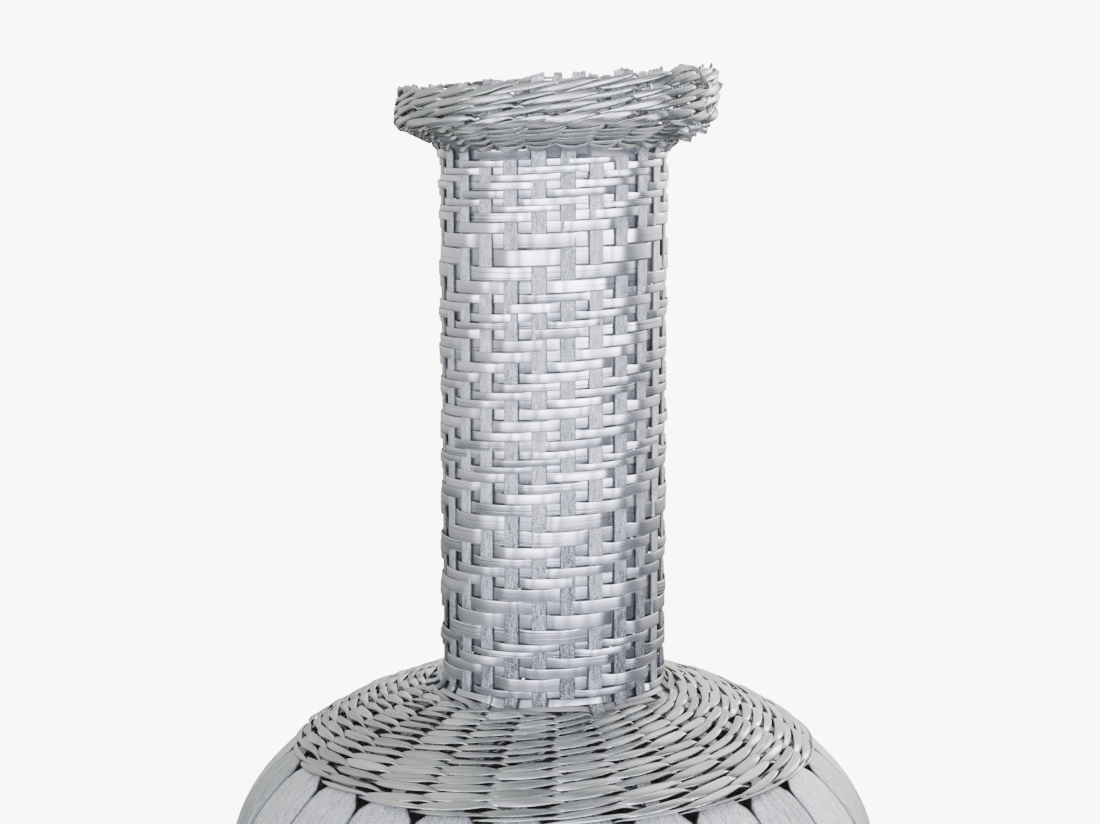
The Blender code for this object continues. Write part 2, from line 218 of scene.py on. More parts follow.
def unit(vectors):
    return vectors / np.linalg.norm(vectors, axis=1)[:, None]


def upTheStake(distance, passed):
    slope = outline.slope(distance)
    turn = math.pi / 2 - step * passed
    flat = np.cos(slope)
    return np.column_stack((flat * np.cos(turn), flat * np.sin(turn), np.sin(slope)))


print("outline:", round(outline.lengths[-1], 4), "m from foot to rim")


# Strips: every stake and weaver is a flat strip with rounded edges, swept along a computed path.
# A section is a list of corners (out, across) as shares of the thickness and the width.
flatSection = [(-0.2, -0.50), (0.25, -0.49), (0.44, -0.46), (0.5, -0.38), (0.5, 0.38), (0.44, 0.46),
               (0.25, 0.49), (-0.2, 0.50), (-0.5, 0.46), (-0.5, -0.46)]
crownSection = [(-0.1, -0.50), (0.32, -0.47), (0.47, -0.38), (0.52, -0.2), (0.52, 0.0), (0.52, 0.2),
                (0.47, 0.38), (0.32, 0.47), (-0.1, 0.50), (-0.48, 0.44), (-0.5, 0.2), (-0.5, 0.0),
                (-0.5, -0.2), (-0.48, -0.44)]
twineSection = [(-0.3, -0.50), (0.12, -0.48), (0.34, -0.40), (0.46, -0.21), (0.5, 0.0), (0.46, 0.21),
                (0.34, 0.40), (0.12, 0.48), (-0.3, 0.50), (-0.5, 0.42), (-0.5, -0.42)]
innerFace = dict(start=0.2, fade=0.25)       # shares of the thickness where the paint ends on the inner face


class Strip:
    def __init__(self, points, out, across, width, thickness, shade, section=flatSection, bow=0.0,
                 start=0.0, bareAndShade=1.0, bareShadeAllRound=0.0):
        count = len(points)
        outShare = np.array([corner[0] for corner in section])
        acrossShare = np.array([corner[1] for corner in section])
        width = np.broadcast_to(width, count)[:, None]
        thickness = np.broadcast_to(thickness, count)[:, None]
        sideways = acrossShare * width
        outwards = outShare * thickness - sideways ** 2 / 2 * np.broadcast_to(bow, count)[:, None]
        rings = points[:, None] + out[:, None] * outwards[..., None] + across[:, None] * sideways[..., None]
        self.corners = rings.reshape(-1, 3)
        lengths = np.linalg.norm(np.diff(points, axis=0), axis=1)
        along = np.concatenate(([0], np.cumsum(lengths))) + start
        along = np.broadcast_to(along[:, None], sideways.shape)
        self.uv = np.stack((along, sideways), axis=-1).reshape(-1, 2)
        self.shade = np.repeat(np.broadcast_to(shade, count), len(section))
        self.edge = np.tile(np.abs(acrossShare) * 2, count)
        unpainted = -(outShare + innerFace["start"]) / innerFace["fade"]
        unpainted = np.clip(unpainted, 0, 1)                   # little paint reaches the inner face
        bareShadeAllRound = np.broadcast_to(bareShadeAllRound, count)[:, None]       # bare all round: thin paint and painted shade under other strips, painted shade at the neck's foot, bare torn slivers
        self.bareAndShade = np.maximum(np.broadcast_to(bareAndShade, count)[:, None] * unpainted, bareShadeAllRound).ravel()
        self.count = count
        self.sides = len(section)

    def faces(self, first):
        ring = np.arange(self.count - 1)[:, None] * self.sides
        corner = np.arange(self.sides)[None]
        following = (corner + 1) % self.sides
        quads = np.stack((ring + corner, ring + following, ring + self.sides + following,
                          ring + self.sides + corner), axis=-1).reshape(-1, 4) + first
        start = list(range(first + self.sides - 1, first - 1, -1))
        last = first + (self.count - 1) * self.sides
        return quads.tolist() + [start, list(range(last, last + self.sides))]


def joinStrips(name, strips, paint, nodes):
    corners = np.vstack([strip.corners for strip in strips])
    faces, first = [], 0
    for strip in strips:
        faces += strip.faces(first)
        first += len(strip.corners)
    mesh = bpy.data.meshes.new(name)
    mesh.from_pydata(corners.tolist(), [], faces)
    loops = np.empty(len(mesh.loops), dtype=np.int32)
    mesh.loops.foreach_get("vertex_index", loops)
    layer = mesh.uv_layers.new(name="strip")
    layer.data.foreach_set("uv", np.vstack([strip.uv for strip in strips])[loops].ravel())
    for label in ("shade", "edge", "bareAndShade"):
        values = np.concatenate([getattr(strip, label) for strip in strips]).astype(np.float32)
        mesh.attributes.new(label, "FLOAT", "POINT").data.foreach_set("value", values)
    mesh.shade_smooth()
    piece = bpy.data.objects.new(name, mesh)
    bpy.context.scene.collection.objects.link(piece)
    dress(piece, paint, nodes)


def dress(piece, paint, nodes):
    piece.data.materials.append(paint)
    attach(piece, "root")
    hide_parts(*nodes)


def eased(value):
    value = np.clip(value, 0, 1)
    return value * value * (3 - 2 * value)


def drift(places, spacing, size):            # a smooth random wobble along a list of places
    place = (places - places.min()) / spacing
    whole = np.floor(place).astype(int)
    values = chance.normal(0, size, whole.max() + 2)
    share = eased(place - whole)
    return values[whole] * (1 - share) + values[whole + 1] * share


floatChange = dict(start=0.38, length=0.24)  # where between two floats the value changes, in floats


def perFloat(passed, middle, length, low, high):  # one random value for each float, changed between floats
    place = (passed - middle) / length
    place = place - math.floor(place.min())
    whole = np.floor(place).astype(int)
    values = chance.uniform(low, high, whole.max() + 2)
    share = eased((place - whole - floatChange["start"]) / floatChange["length"])
    return values[whole] * (1 - share) + values[whole + 1] * share


# Paints. Each reads the strip's own UV (metres along, metres across), its shade (a random tone, lowered as
# painted shade in the neck), how near the strip's edge a place is, and its bare share, where paint is missing
# and where shade is painted.
# The neck's silver is lighter and bluer and the twine's darker and greener, though both are one paint:
# painted light and shade for how each part is lit.
neckLook = dict(dark=(0.34, 0.35, 0.38), light=(0.84, 0.84, 0.91), metallic=0.92, roughness=0.22,
                wornEdgeShade=0.7, along=14, across=1400, streak=0.30, speckle=0.12, grit=1500, groove=0.55,
                sheen=0.05, bump=0.00005)
stakeLook = dict(dark=(0.08, 0.09, 0.10), light=(0.86, 0.87, 0.92), metallic=0.88, roughness=0.31,
                 wornEdgeShade=0.85, along=190, across=1500, streak=1.35, speckle=1.7, grit=1250, groove=0.2,
                 sheen=0.12, bump=0.00045)
twineLook = dict(dark=(0.12, 0.13, 0.123), light=(0.57, 0.583, 0.572), metallic=0.86, roughness=0.19,
                 wornEdgeShade=0.6, along=26, across=1300, streak=0.70, speckle=0.25, grit=1200, groove=0.35,
                 sheen=0.12, bump=0.00016)
footLook = dict(dark=(0.30, 0.31, 0.31), light=(0.62, 0.63, 0.63), metallic=0.40, roughness=0.50,
                wornEdgeShade=0.5, along=30, across=900, streak=0.50, speckle=0.35, grit=950, groove=0.0,
                sheen=0.12, bump=0.00018)
# Unpainted bamboo of the inner faces, made darker than raw bamboo as painted shade in the weave's gaps.
shadedBareBamboo = (0.19, 0.175, 0.145)
grain = dict(                                # what all four paints share
    fibreDetail=4.0, fibreRough=0.62,
    wideAlong=0.4, wideAcross=0.22, wideShift=(3, 7, 0), wideDetail=2.0,
    splitAlong=0.6, splitAcross=0.5, splitShift=(8, 2, 0), splitDetail=1.0, splitFade=(0.62, 0.69),
    gritDetail=2.0, gritRough=0.7, blotchScale=38.0, blotchDetail=2.0,
    wideTone=0.6, blotchTone=0.2, shadeTone=0.45,        # shares of the tone, and then what evens it out
    streakMiddle=0.8, speckleMiddle=0.5, restMiddle=0.1, middle=0.32,
    deepShade=0.35, edgeShadeFade=(0.86, 1.0), wideHeight=0.5, gritGloss=0.05,
    bareTone=0.92, bareMetal=0.9, bareGloss=0.3,
)


def grainPaint(name, look):
    material = bpy.data.materials.new(name)
    paint = Paint(material)
    shader = paint.tree.nodes["Principled BSDF"]
    strip = paint.node("ShaderNodeUVMap", {"uv_map": "strip"})
    solid = paint.node("ShaderNodeTexCoord", output=3)
    shade = paint.node("ShaderNodeAttribute", {"attribute_name": "shade"}, output=2)
    edge = paint.node("ShaderNodeAttribute", {"attribute_name": "edge"}, output=2)
    bareAndShade = paint.node("ShaderNodeAttribute", {"attribute_name": "bareAndShade"}, output=2)
    along, across, streak, speckle = look["along"], look["across"], look["streak"], look["speckle"]
    wideStretch = (along * grain["wideAlong"], across * grain["wideAcross"], 1)
    splitStretch = (along * grain["splitAlong"], across * grain["splitAcross"], 1)
    fibres = paint.stretch(strip, (along, across, 1))
    fibres = paint.noise(fibres, 1.0, grain["fibreDetail"], grain["fibreRough"])
    wide = paint.noise(paint.stretch(strip, wideStretch, grain["wideShift"]), 1.0, grain["wideDetail"])
    split = paint.noise(paint.stretch(strip, splitStretch, grain["splitShift"]), 1.0, grain["splitDetail"])
    split = paint.smooth(split, *grain["splitFade"]) * look["groove"]
    grit = paint.noise(solid, look["grit"], grain["gritDetail"], grain["gritRough"])
    blotch = paint.noise(solid, grain["blotchScale"], grain["blotchDetail"])
    tone = fibres * streak + wide * (streak * grain["wideTone"]) + grit * speckle
    tone = tone + blotch * grain["blotchTone"] + shade * grain["shadeTone"]
    evened = streak * grain["streakMiddle"] + speckle * grain["speckleMiddle"] + grain["restMiddle"]
    tone = tone - evened + grain["middle"]
    colour = paint.blend(paint.maths("MAXIMUM", tone, 0.0, clamp=True), look["dark"], look["light"])
    # The strip's edges darken to a deeper colour, partly wear and partly painted shade between strips; the
    # split grooves darken as painted shade in them.
    deepShade = tuple(value * grain["deepShade"] for value in look["dark"])
    wornEdgeShade = paint.smooth(edge, *grain["edgeShadeFade"])
    colour = paint.blend(wornEdgeShade * look["wornEdgeShade"], colour, deepShade)
    colour = paint.blend(split, colour, deepShade)
    # Bare places take the shaded bare bamboo: unpainted faces, and painted shade where strips are covered.
    colour = paint.blend(bareAndShade * grain["bareTone"], colour, shadedBareBamboo)
    height = fibres * streak + wide * (streak * grain["wideHeight"]) + grit * speckle - split
    normal = paint.node("ShaderNodeBump", None, {"Strength": 1.0, "Distance": look["bump"], "Height": height})
    paint.feed(shader.inputs["Base Color"], colour)
    paint.feed(shader.inputs["Metallic"], (1 - bareAndShade * grain["bareMetal"]) * look["metallic"])
    rough = bareAndShade * grain["bareGloss"] + (fibres - 0.5) * look["sheen"] + grit * grain["gritGloss"]
    rough = rough + look["roughness"]
    paint.feed(shader.inputs["Roughness"], rough)
    paint.feed(shader.inputs["Normal"], normal)
    return material


neckPaint = grainPaint("neckSilver", neckLook)
stakePaint = grainPaint("stakeSilver", stakeLook)
twinePaint = grainPaint("twineSilver", twineLook)
footPaint = grainPaint("footSilver", footLook)
print("paints ready")


# The rows, all one climb from the back. The neck's were read from enlarged parts of the photo: their
# heights in its pixels, from the top down. The heights of the other rows are in millimetres.
rows = dict(
    neckPixels=[12, 6, 7, 7, 8, 8, 7, 6, 9.5, 11, 15, 17, 13.5, 13,
                8, 10, 8, 7, 10, 11.5, 10.5, 10, 9.5, 8, 8, 8.5, 11,
                11, 9, 9.5, 8, 6.5, 6.5, 10, 9, 10.5, 11.5, 15, 15, 11,
                9, 9.5, 10, 12.5, 12.5, 14, 14, 7, 6.5, 9.5, 10, 12, 7,
                9, 6.5, 6],
    pixelTop=0.4975,             # millimetres of the neck's front in a pixel, at its top and at its foot
    pixelFoot=0.5368,
    pixelFit=1.023,              # fits their sum to the neck's length
    neckEnd=0.0025,              # how far into the flare the last neck row reaches
    shoulderRadius=0.140,        # where the rows over the shoulder begin
    shoulderRow=6.2,
    scallopRow=7.0,              # the lowest row of the flare, whose floats droop
    flareRows=4,
    collarRows=4,
    collarRow=5.3,
    neckStretch=1.026,
    lean=[0.0, 0.0022, 0.0042, 0.0030, 0.0, 0.0022],  # how far the rows stand higher on the right
    leanFoot=0.02,               # where that starts on the shoulder, and where the neck has the most
    leanMost=0.15,
    rimDrop=0.0014,              # the last row ends this far below the stakes' line
)


def neckHeights():                           # in millimetres to a tenth, from the top down
    total = sum(rows["neckPixels"])
    heights, above = [], 0
    for height in rows["neckPixels"]:
        share = (above + height / 2) / total
        above += height
        scale = rows["pixelTop"] + (rows["pixelFoot"] - rows["pixelTop"]) * share
        heights.append(round(height * rows["pixelFit"] * scale, 1))
    return heights


neckRows = [height / 1000 * rows["neckStretch"] for height in reversed(neckHeights())]
neckTopPlace = outline.ends["neck"] + rows["neckEnd"]
neckStart = neckTopPlace - sum(neckRows)
shoulderStart = outline.distanceAt(rows["shoulderRadius"])
shoulderCount = round((neckStart - shoulderStart) * 1000 / rows["shoulderRow"]) + 1
flareStart = neckTopPlace + rows["scallopRow"] / 1000
collarStart = outline.lengths[-1] - rows["rimDrop"] - rows["collarRows"] * rows["collarRow"] / 1000
flareRow = (collarStart - flareStart) / rows["flareRows"]
rowHeights = [(neckStart - shoulderStart) / (shoulderCount - 1)] * shoulderCount + neckRows
rowHeights += [rows["scallopRow"] / 1000] + [flareRow] * rows["flareRows"]
rowHeights += [rows["collarRow"] / 1000] * rows["collarRows"]
leanPlaces = [shoulderStart + rows["leanFoot"], neckStart, neckStart + rows["leanMost"], neckTopPlace,
              collarStart, outline.lengths[-1]]
neckFirst = shoulderCount * vase["stakes"]
neckLast = neckFirst + len(neckRows) * vase["stakes"]
flareLast = neckLast + (1 + rows["flareRows"]) * vase["stakes"]
collarLast = flareLast + rows["collarRows"] * vase["stakes"]


# The lower edge and the height of the row at each place on the spiral. Its first turn grows from nothing.
class Climb:
    def __init__(self, start, heights):
        turn = vase["stakes"] * samples
        self.passed = np.arange(len(heights) * turn + 1) / samples
        middles = (np.arange(len(heights)) + 0.5) * vase["stakes"]
        self.heights = np.interp(self.passed, middles, heights)
        self.edges = np.empty_like(self.passed)
        self.heights[:turn] *= self.passed[:turn] / vase["stakes"]
        self.edges[:turn] = start
        for first in range(turn, len(self.edges), turn):
            last = min(first + turn, len(self.edges))
            before = slice(first - turn, last - turn)
            self.edges[first:last] = self.edges[before] + self.heights[before]

    def middle(self, passed):
        return np.interp(passed, self.passed, self.edges + self.heights / 2)

    def height(self, passed):
        return np.interp(passed, self.passed, self.heights)


climb = Climb(shoulderStart, rowHeights)
print("rows:", len(rowHeights), "of which", shoulderCount, "on the shoulder")


def rounded(wave, sharp):                    # flattens a cosine, so a strip lies nearly level on its float
    return wave / np.sqrt(wave ** 2 + sharp ** 2) * math.sqrt(1 + sharp ** 2)


squeeze = (0.62, 1.3)        # how far a strip narrows or widens where the outline bends


# A strip that lies on the vase: its points, and the two directions of its sections.
def laid(distance, passed, lift, roll):
    points = onVase(distance, passed, lift)
    along = unit(np.gradient(points, axis=0))
    up = upTheStake(distance, passed)
    up = unit(up - along * (up * along).sum(axis=1)[:, None])
    out = np.cross(up, along)
    if (out * points * (1, 1, 0)).sum() < 0:             # a strip that runs the other way round
        out = -out
        up = -up
    roll = np.broadcast_to(roll, len(passed))[:, None]
    up, out = up * np.cos(roll) + out * np.sin(roll), out * np.cos(roll) - up * np.sin(roll)
    return points, out, up


def weaveStrip(spiral, passed, lift, shift, width, thickness, shade, roll, start, bareAndShade=1.0,
               section=flatSection, bareShadeAllRound=0.0):
    middle = spiral.middle(passed) + shift
    middle = middle + np.interp(middle, leanPlaces, rows["lean"]) * np.sin(step * passed)
    hollow = outline.hollow(middle)
    room = np.abs(hollow) * width ** 2 / 8
    lift = lift + np.where(lift > 0, room, -room)
    width = width * np.clip(1 - lift * hollow, *squeeze)
    points, out, up = laid(middle, passed, lift, roll)
    return Strip(points, out, up, width, thickness, shade, section, start=start, bareAndShade=bareAndShade, bareShadeAllRound=bareShadeAllRound)


# The neck: flat strips of unlike widths, over two stakes and under two.
neck = dict(
    strips=8, repeat=4, trim=0.04,           # repeat, trim, floats and spacings are in stakes
    lift=0.00155, sharp=0.60, thickness=0.0008, gap=0.00006, roll=math.radians(3),
    floatLength=2.0, floatStart=0.5, floatMiddle=1.5,
    slip=0.20, slipSpacing=2.3, waviness=0.00028, wavinessSpacing=0.9, rise=0.00008, riseSpacing=5.0,
    unevenness=0.00008, unevenSpacing=7.0,
    # recessShade is painted shade where a strip goes behind the stakes.
    hiddenExtra=0.0008, hiddenFrom=0.3, hiddenSharp=3, recessShade=0.45, recessSharp=2,
    # Painted shade: lowerShade darkens the neck towards its foot, most at the floats' ends; footShade and
    # footBareShade darken the lowest rows.
    lowerShade=0.9, lowerShadeRows=30, lowerShadeEven=0.4, lowerShadeDeep=0.6, lowerShadeFrom=0.9,
    footShade=1.0, footShadeRows=4.6, footBareShade=0.55, footBareShadeRows=2.4, grainStep=1.7,
)


def weaveNeck():
    share = (neckLast - neckFirst) / neck["strips"]
    repeat = neck["repeat"]
    for number in range(neck["strips"]):
        first = neckFirst + round(share * number / repeat) * repeat
        last = neckFirst + round(share * (number + 1) / repeat) * repeat
        passed = np.arange(first * samples, last * samples + 1) / samples
        passed[0] += neck["trim"]
        passed[-1] -= neck["trim"]
        slipped = passed + drift(passed, neck["slipSpacing"], neck["slip"])
        wave = np.cos(math.pi * (slipped - neckFirst - neck["floatMiddle"]) / neck["floatLength"])
        lift = neck["lift"] * rounded(wave, neck["sharp"])
        lift = lift + drift(passed, neck["wavinessSpacing"], neck["waviness"])
        shift = drift(passed, neck["riseSpacing"], neck["rise"])
        uneven = np.abs(drift(passed, neck["unevenSpacing"], neck["unevenness"]))
        width = climb.height(passed) - neck["gap"] - uneven
        behind = eased(neck["hiddenFrom"] - wave * neck["hiddenSharp"])  # there the rows close up
        width = width + neck["hiddenExtra"] * behind
        above = (passed - neckFirst) / vase["stakes"]    # rows up from the neck's foot
        # painted shade: darker towards the neck's foot, most where the floats end, and darkest in the lowest
        # rows
        deepShade = neck["lowerShadeEven"] + neck["lowerShadeDeep"] * eased(neck["lowerShadeFrom"] - wave)
        lowerShade = neck["lowerShade"] * eased(1 - above / neck["lowerShadeRows"]) * deepShade
        lowerShade = lowerShade + neck["footShade"] * eased(neck["footShadeRows"] - above)
        start, length = first - neck["floatStart"], neck["floatLength"]
        # painted shade where the strip lies behind the stakes
        recessShade = neck["recessShade"] * eased(-wave * neck["recessSharp"])
        shade = perFloat(passed, start, length, 0, 1) - recessShade - lowerShade
        roll = perFloat(passed, start, length, -neck["roll"], neck["roll"])
        # painted shade in the lowest rows, through the bare share, which also lowers their gloss
        bareShadeAllRound = neck["footBareShade"] * eased(neck["footBareShadeRows"] - above)
        strip = weaveStrip(climb, passed, lift, shift, width, neck["thickness"], shade, roll,
                           number * neck["grainStep"], bareShadeAllRound=bareShadeAllRound)
        joinStrips(f"neckWeaver{number + 1}", [strip], neckPaint,
                   [f"neck_weaver_{number + 1}"])


weaveNeck()
print("neck woven")


# Twined rows: two strands that cross between the stakes, each over one stake and behind the next, or on the
# collar three strands, each over two stakes and behind the third. A strand rises to the right along its
# float, and its right end lies over the start of the next one.
twining = dict(settleTurns=1.6, rises=(0.6, 1.35), widths=(0.78, 1.12), wobbleSpacing=3.0, behindFrom=0.3,
               tip=0.25, tipGrowth=1.2, grainStep=0.61)


def twine(spiral, first, last, look, start=0.0):
    strips = []
    strands = look["strands"]
    for strand in range(strands):
        passed = np.arange(first * samples, last * samples + 1) / samples
        middle = 1 - strands / 2 - strand                # a stake or a gap that a float is centred on
        turn = math.tau * (passed - middle) / strands
        turn = turn - look["warp"] * np.sin(turn)        # the float is longer than what is behind the stake
        over, left = np.cos(turn), np.sin(turn)
        height = spiral.height(passed)
        lift = look["lift"] * (rounded(over, look["sharp"]) - look["tuck"] * left)
        turns = (passed - first) / twining["settleTurns"] / vase["stakes"]
        lift = lift - look["settle"] * (1 - eased(turns))
        rise = -look["rise"] * height * left * np.abs(over) ** look["cross"]
        rise = rise * perFloat(passed, middle, strands, *twining["rises"])
        rise = rise - look["droop"] * np.clip(over, 0, 1)
        rise = rise + drift(passed, twining["wobbleSpacing"], look["wobble"])
        narrow = look["narrow"] + (1 - look["narrow"]) * np.abs(over) ** look["leaf"]
        width = height * look["fill"] * narrow * (1 - look["skew"] * left)
        width = width * perFloat(passed, middle, strands, *twining["widths"])
        width = width * (1 + look["behind"] * eased(twining["behindFrom"] - over))
        ends = np.minimum(passed - first, last - passed)
        width = width * np.clip(twining["tip"] + ends * twining["tipGrowth"], 0, 1)
        shade = perFloat(passed, middle, strands, 0, 1)
        roll = perFloat(passed, middle, strands, -look["roll"], look["roll"]) + look["twist"] * left
        strips.append(weaveStrip(spiral, passed, lift, rise, width, look["thickness"], shade, roll,
                                 start + strand * twining["grainStep"], look["bareAndShade"], twineSection))
    return strips


shoulderLook = dict(
    strands=2, lift=0.0024, sharp=0.8, rise=0.42, cross=0.2, droop=0.0009, wobble=0.0005, narrow=0.30,
    leaf=1.05, warp=0.45, skew=0.12, tuck=0.28, fill=0.92, thickness=0.0011, roll=math.radians(17),
    twist=math.radians(16), bareAndShade=0.65, settle=0.0, behind=0.0,
)
flareLook = dict(
    shoulderLook, lift=0.0018, droop=0.0013, rise=0.46, wobble=0.0006, narrow=0.36, fill=0.84,
    roll=math.radians(8), skew=0.1, bareAndShade=0.7,
)
scallopLook = dict(
    flareLook, rise=0.06, droop=0.0025, fill=0.98, narrow=0.26, warp=0.1, skew=0.0,
    roll=math.radians(3), twist=0.0,
)
collarLook = dict(
    shoulderLook, strands=3, droop=0.0, lift=0.0027, rise=0.62, cross=0.15, wobble=0.0006, narrow=0.34,
    leaf=1.0, warp=0.6, skew=0.08, tuck=0.50, fill=0.75, settle=0.0012, behind=0.7, thickness=0.0012,
    roll=math.radians(15), bareAndShade=0.35,
)
firstStake = 5                               # the first row starts where it is wide enough for a strand
shoulderHalf = neckFirst // 2
joinStrips("shoulderWeaver1", twine(climb, firstStake, shoulderHalf, shoulderLook), twinePaint,
           ["shoulder_weaver_1"])
joinStrips("shoulderWeaver2", twine(climb, shoulderHalf, neckFirst, shoulderLook), twinePaint,
           ["shoulder_weaver_2"])
flareStrips = twine(climb, neckLast, neckLast + vase["stakes"], scallopLook)
flareStrips += twine(climb, neckLast + vase["stakes"], flareLast, flareLook, 2.0)
joinStrips("flareWeaver", flareStrips, twinePaint, ["rim_weaver_1"])


# Ends of strands that stick out of the rim on the right, and one that curls over the top edge.
tails = dict(
    count=18, rings=9, rows=7, first=5.4, last=8.8, scatter=0.001, climb=0.004, climbCurve=1.5,
    length=0.22, lengths=(0.6, 1.3), width=0.0048, widths=(0.7, 1.0), thickness=0.0012,
    base=0.0012, out=0.0034, outs=(0.6, 1.2), outCurve=1.4, roll=0.5, twist=0.4,
)
curl = dict(
    rings=40, first=10.2, last=8.1, start=-0.0030, rise=0.0080, riseLength=0.55, width=0.0050,
    narrowing=0.4, thickness=0.0012, lift=0.0026, sink=0.9, sinkFrom=0.2, sinkLength=0.5, hook=0.0095,
    hookFrom=0.66, hookLength=0.34, hookOut=0.0045, roll=0.5, rollLength=0.6, hookRoll=0.9,
)
looseBare = 0.3                              # loose and torn ends are painted nearly all round


def looseStrip(distance, passed, lift, width, thickness, roll):
    points, out, up = laid(distance, passed, lift, roll)
    return Strip(points, out, up, width, thickness, chance.uniform(), twineSection, bareAndShade=looseBare)


def makeTails():
    strips = []
    share = np.linspace(0, 1, tails["rings"])
    for number in range(tails["count"]):
        passed = chance.uniform(tails["first"], tails["last"])
        row = neckLast + (number % tails["rows"] + 1) * vase["stakes"] + passed
        distance = climb.middle(min(row, collarLast)) + chance.uniform(-tails["scatter"], tails["scatter"])
        distance = distance + tails["climb"] * share ** tails["climbCurve"]
        length = tails["length"] * chance.uniform(*tails["lengths"])
        lift = tails["base"] + tails["out"] * chance.uniform(*tails["outs"]) * share ** tails["outCurve"]
        width = tails["width"] * chance.uniform(*tails["widths"])
        roll = chance.uniform(-tails["roll"], tails["roll"]) + tails["twist"] * share
        strips.append(looseStrip(distance, passed - length * share, lift, width, tails["thickness"], roll))
    return strips


def makeCurl():
    share = np.linspace(0, 1, curl["rings"])
    passed = curl["first"] + (curl["last"] - curl["first"]) * share
    hook = eased((share - curl["hookFrom"]) / curl["hookLength"])
    rise = curl["rise"] * eased(share / curl["riseLength"])
    distance = outline.lengths[-1] + curl["start"] + rise - curl["hook"] * hook ** 2
    sink = eased((share - curl["sinkFrom"]) / curl["sinkLength"]) * curl["sink"]
    lift = curl["lift"] * (1 - sink) + curl["hookOut"] * hook
    width = curl["width"] * (1 - curl["narrowing"] * share)
    roll = curl["roll"] * eased(share / curl["rollLength"]) - curl["hookRoll"] * hook
    return [looseStrip(distance, passed, lift, width, curl["thickness"], roll)]


collarStrips = twine(climb, flareLast, collarLast, collarLook, 4.0) + makeTails() + makeCurl()
joinStrips("collarWeaver", collarStrips, twinePaint, ["rim_weaver_2"])
print("shoulder and rim twined")


# The foot, outside the photo: four twined rows, a hoop and a disc.
foot = dict(
    rows=4, row=0.0064, start=0.0118, hoopWidth=0.009, hoopThickness=0.0025, discThickness=0.008,
    slatWidth=0.012, slatThickness=0.0012, clearance=0.0003, hoopClearance=0.0002, sides=100,
    hoopBevel=0.0007, discBevel=0.0008, bevelSegments=3, smoothAngle=math.radians(35), mapRadius=0.1,
)
footClimb = Climb(foot["start"], [foot["row"]] * foot["rows"])
footTwine = dict(shoulderLook, rise=0.2, lift=0.0017, fill=0.84)
footStrips = twine(footClimb, firstStake, foot["rows"] * vase["stakes"], footTwine)
joinStrips("footWeaver", footStrips, twinePaint, ["foot_weaver"])

footSlope = outline.slopes[0]
footSeat = foot["clearance"] + foot["slatThickness"] / 2


# A strip map for a turned piece: metres round, and metres up and out.
def wrapRound(piece):
    mesh = piece.data
    layer = mesh.uv_layers.new(name="strip")
    for loop in mesh.loops:
        x, y, z = mesh.vertices[loop.vertex_index].co
        layer.data[loop.index].uv = (math.atan2(y, x) * foot["mapRadius"], z + math.hypot(x, y))
    for label, value in (("shade", 0.5), ("edge", 0.0), ("bareAndShade", 0.0)):
        values = np.full(len(mesh.vertices), value, dtype=np.float32)
        mesh.attributes.new(label, "FLOAT", "POINT").data.foreach_set("value", values)


def finishTurned(piece, bevelWidth, node):
    bevel = piece.modifiers.new("edge", "BEVEL")
    bevel.width = bevelWidth
    bevel.segments = foot["bevelSegments"]
    bevel.limit_method = "ANGLE"
    bpy.ops.object.modifier_apply(modifier="edge")
    bpy.ops.object.shade_smooth_by_angle(angle=foot["smoothAngle"])
    wrapRound(piece)
    dress(piece, footPaint, [node])
    bpy.ops.object.select_all(action="DESELECT")


def makeHoop():
    reach = vase["footRadius"] + footSeat / math.sin(footSlope)
    inner = math.hypot(reach, foot["slatWidth"] / 2) + foot["hoopClearance"]
    bpy.ops.mesh.primitive_circle_add(vertices=foot["sides"], radius=inner, fill_type="NOTHING",
                                      location=(0, 0, vase["footLift"]))
    hoop = bpy.context.object
    hoop.name = "footHoop"
    bpy.ops.object.transform_apply(location=True, rotation=False, scale=False)
    bpy.ops.object.mode_set(mode="EDIT")
    bpy.ops.mesh.select_all(action="SELECT")
    rise = foot["hoopWidth"] * math.sin(footSlope)
    wider = 1 + foot["hoopWidth"] * math.cos(footSlope) / inner
    bpy.ops.mesh.extrude_edges_move(TRANSFORM_OT_translate={"value": (0, 0, rise)})
    bpy.ops.transform.resize(value=(wider, wider, 1), center_override=(0, 0, 0))
    bpy.ops.object.mode_set(mode="OBJECT")
    wall = hoop.modifiers.new("wall", "SOLIDIFY")
    wall.thickness = foot["hoopThickness"]
    wall.offset = 1
    bpy.ops.object.modifier_apply(modifier="wall")
    finishTurned(hoop, foot["hoopBevel"], "foot_hoop")


def makeDisc():
    reach = vase["footRadius"] - footSeat / math.sin(footSlope) - vase["footLift"] / math.tan(footSlope)
    bpy.ops.mesh.primitive_cone_add(vertices=foot["sides"], radius1=reach, depth=foot["discThickness"],
                                    radius2=reach + foot["discThickness"] / math.tan(footSlope),
                                    location=(0, 0, foot["discThickness"] / 2))
    disc = bpy.context.object
    disc.name = "baseDisc"
    bpy.ops.object.transform_apply(location=True, rotation=False, scale=False)
    finishTurned(disc, foot["discBevel"], "base_disc")


makeHoop()
makeDisc()
print("foot made")


